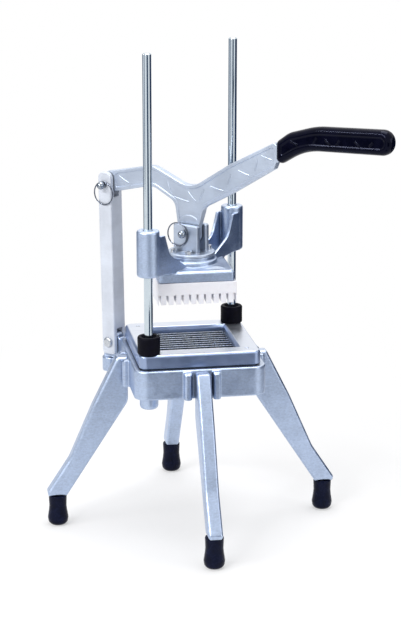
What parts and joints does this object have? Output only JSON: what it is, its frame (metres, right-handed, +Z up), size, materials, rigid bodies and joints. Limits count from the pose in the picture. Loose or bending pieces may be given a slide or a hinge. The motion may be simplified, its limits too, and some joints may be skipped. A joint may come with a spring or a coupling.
{
  "type": "french fry cutter",
  "caption": "Countertop french fry cutter: a long lever presses a finned pusher down two guide rods through a square blade grid on four splayed legs.",
  "frame": {"origin": "on the floor, under the middle of the blade grid", "axes": "+X right along the front edge of the blade frame, +Y to the back, +Z up; the handle points along +X -Y"},
  "size_m": [0.4318, 0.4318, 0.672],
  "materials": {
    "cast_aluminium": "satin, tumbled sand-cast grain",
    "satin_aluminium": "satin, polished flats",
    "stainless_rod": "polished, ground",
    "pin_steel": "bright plated",
    "blade_steel": "brushed",
    "zinc_steel": "zinc plated",
    "bronze": "sintered bronze",
    "bumper_rubber": "matte",
    "foot_rubber": "semi-matte",
    "grip_vinyl": "glossy dipped vinyl",
    "white_plastic": "satin moulded"
  },
  "bodies": {
    "frame": {"base_body": "cast_aluminium", "blade_frame": "satin_aluminium", "blades_upper": "blade_steel", "blades_lower": "blade_steel", "blade_frame_screws": "zinc_steel", "guide_rod_left": "stainless_rod", "guide_rod_right": "stainless_rod", "bumper_left": "bumper_rubber", "bumper_right": "bumper_rubber", "leg_right": "cast_aluminium", "leg_back": "cast_aluminium", "leg_left": "cast_aluminium", "leg_front": "cast_aluminium", "foot_right": "foot_rubber", "foot_back": "foot_rubber", "foot_left": "foot_rubber", "foot_front": "foot_rubber", "leg_screws": "zinc_steel", "lug_bushing": "bronze"},
    "head": {"head_casting": "cast_aluminium", "guide_bushing_left": "bronze", "guide_bushing_right": "bronze", "clevis": "cast_aluminium", "head_screws": "zinc_steel", "pusher": "white_plastic"},
    "lever": {"lever_arm": "satin_aluminium", "grip": "grip_vinyl", "lever_bushing": "bronze"},
    "link": {"link": "satin_aluminium", "link_bolt": "zinc_steel", "link_nut": "zinc_steel"},
    "head_pin": {"head_pin": "pin_steel"},
    "head_pin_ring": {"head_pin_ring": "pin_steel"},
    "link_pin": {"link_pin": "pin_steel"},
    "link_pin_ring": {"link_pin_ring": "pin_steel"}
  },
  "joints": [
    {"name": "head_slide", "type": "slide", "parent": "frame", "child": "head", "axis": [0, 0, 1], "range_m": [-0.082, 0]},
    {"name": "lever_turn", "type": "hinge", "parent": "head", "child": "lever", "pos_m": [0, 0, 0.4165], "axis": [0.7071, 0.7071, 0], "range_deg": [0, 37.9]},
    {"name": "link_swing", "type": "hinge", "parent": "frame", "child": "link", "pos_m": [-0.09687, 0.09687, 0.238], "axis": [0.7071, 0.7071, 0], "range_deg": [0, 15.2]},
    {"name": "head_pin_pull", "type": "slide", "parent": "head", "child": "head_pin", "axis": [-0.7071, -0.7071, 0], "range_m": [0, 0.0325]},
    {"name": "head_ring_swing", "type": "hinge", "parent": "head_pin", "child": "head_pin_ring", "pos_m": [-0.01131, -0.01131, 0.4165], "axis": [0.7071, 0.7071, 0], "range_deg": [-10, 200]},
    {"name": "link_pin_pull", "type": "slide", "parent": "link", "child": "link_pin", "axis": [-0.7071, -0.7071, 0], "range_m": [0, 0.0315]},
    {"name": "link_ring_swing", "type": "hinge", "parent": "link_pin", "child": "link_pin_ring", "pos_m": [-0.11031, 0.0891, 0.467], "axis": [0.7071, 0.7071, 0], "continuous": true}
  ],
  "couplings": [
    {"joint": "lever_turn", "follows": "head_slide", "rad_per_m": -8.0474},
    {"joint": "link_swing", "follows": "head_slide", "rad_per_m": -3.2008}
  ]
}
